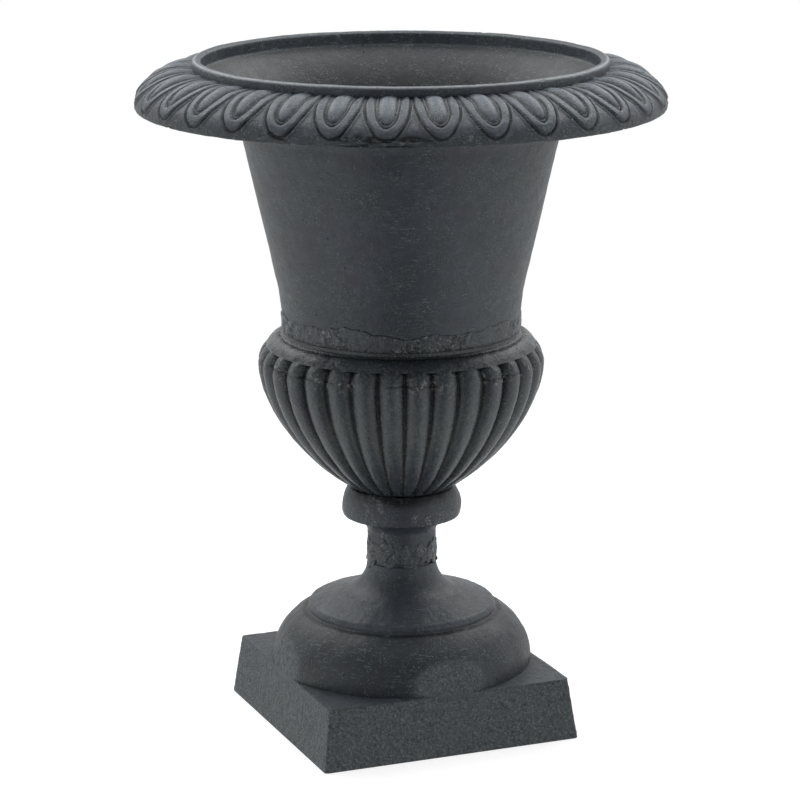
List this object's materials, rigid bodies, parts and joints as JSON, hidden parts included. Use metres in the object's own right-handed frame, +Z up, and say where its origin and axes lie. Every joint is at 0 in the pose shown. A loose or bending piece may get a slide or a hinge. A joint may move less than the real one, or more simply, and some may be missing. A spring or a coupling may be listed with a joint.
{
  "type": "urn planter",
  "caption": "Cast-iron pedestal urn planter with a rolled egg ornament rim, bell-shaped body, gadrooned bowl, knop, moulded foot and square plinth.",
  "frame": {"origin": "on the floor, under the planter's upright axis, in the middle of the plinth's underside", "axes": "+Z up along the axis of the turned forms; +X and +Y square to the plinth's sides"},
  "size_m": [0.3899, 0.39, 0.5054],
  "materials": {
    "painted_iron": "satin dark grey paint over pitted cast iron",
    "joint_cement": "rough iron cement, painted over",
    "fastener_steel": "dull weathered steel"
  },
  "bodies": {
    "root": {"bell_casting": "painted_iron", "gadroon_bowl": "painted_iron", "pedestal_foot": "painted_iron", "bell_joint_cement": "joint_cement", "neck_joint_cement": "joint_cement", "bell_bolts": "fastener_steel", "bell_washers": "fastener_steel", "bell_nuts": "fastener_steel", "tie_rod": "fastener_steel", "upper_washer": "fastener_steel", "upper_nut": "fastener_steel", "clamp_bar": "fastener_steel", "lower_washer": "fastener_steel", "lower_nut": "fastener_steel"}
  },
  "joints": []
}
